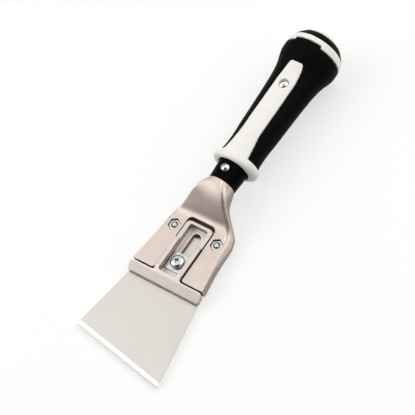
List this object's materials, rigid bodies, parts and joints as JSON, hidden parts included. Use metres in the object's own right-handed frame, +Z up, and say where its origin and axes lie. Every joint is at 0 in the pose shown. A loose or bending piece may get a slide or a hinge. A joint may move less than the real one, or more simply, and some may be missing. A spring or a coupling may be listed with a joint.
{
  "type": "scraper",
  "caption": "Cranked scraper with a cast head, a screw-clamped slide holding a skewed blade, a black neck sleeve and a black and white handle with a striking cap.",
  "frame": {"origin": "middle of the footprint, on the table under the back plate and the knob", "axes": "+X across the tool, +Y along it from the blade to the butt, +Z up out of its front face"},
  "size_m": [0.0726, 0.263, 0.0384],
  "materials": {
    "cast_alloy": "satin die casting",
    "plate_steel": "satin",
    "blade_steel": "fine brushed, ground edge",
    "zinc_plate": "bright zinc plating",
    "nickel": "polished",
    "black_nylon": "moulded",
    "white_plastic": "fine moulded grain",
    "soft_black": "soft matt"
  },
  "bodies": {
    "tool": {"head_casting": "cast_alloy", "back_plate": "plate_steel", "frame_screw_left": "zinc_plate", "frame_screw_right": "zinc_plate", "frame_nut_left": "zinc_plate", "frame_nut_right": "zinc_plate", "clamp_bush": "zinc_plate", "shank": "plate_steel", "neck_sleeve": "black_nylon", "neck_rivet": "nickel", "rivet_washer": "nickel", "handle_core": "white_plastic", "grip": "soft_black", "handle_pin": "nickel", "end_cap": "soft_black", "tang_washer": "zinc_plate", "strike_cap": "nickel"},
    "slide": {"clamp_slide": "cast_alloy"},
    "washer": {"square_washer": "zinc_plate"},
    "screw": {"clamp_screw": "zinc_plate"},
    "blade": {"blade": "blade_steel"}
  },
  "joints": [
    {"name": "slide_travel", "type": "slide", "parent": "tool", "child": "slide", "axis": [0, -1, 0], "range_m": [0, 0.019]},
    {"name": "washer_lift", "type": "slide", "parent": "tool", "child": "washer", "axis": [0, 0, 1], "range_m": [0, 0.0016]},
    {"name": "screw_turn", "type": "hinge", "parent": "washer", "child": "screw", "pos_m": [0, -0.0538, 0.008], "axis": [0, 0, 1], "range_deg": [0, 720]},
    {"name": "blade_draw", "type": "slide", "parent": "tool", "child": "blade", "axis": [0, -1, 0], "range_m": [0, 0.045]}
  ],
  "couplings": [
    {"joint": "screw_turn", "follows": "washer_lift", "rad_per_m": 7854}
  ]
}
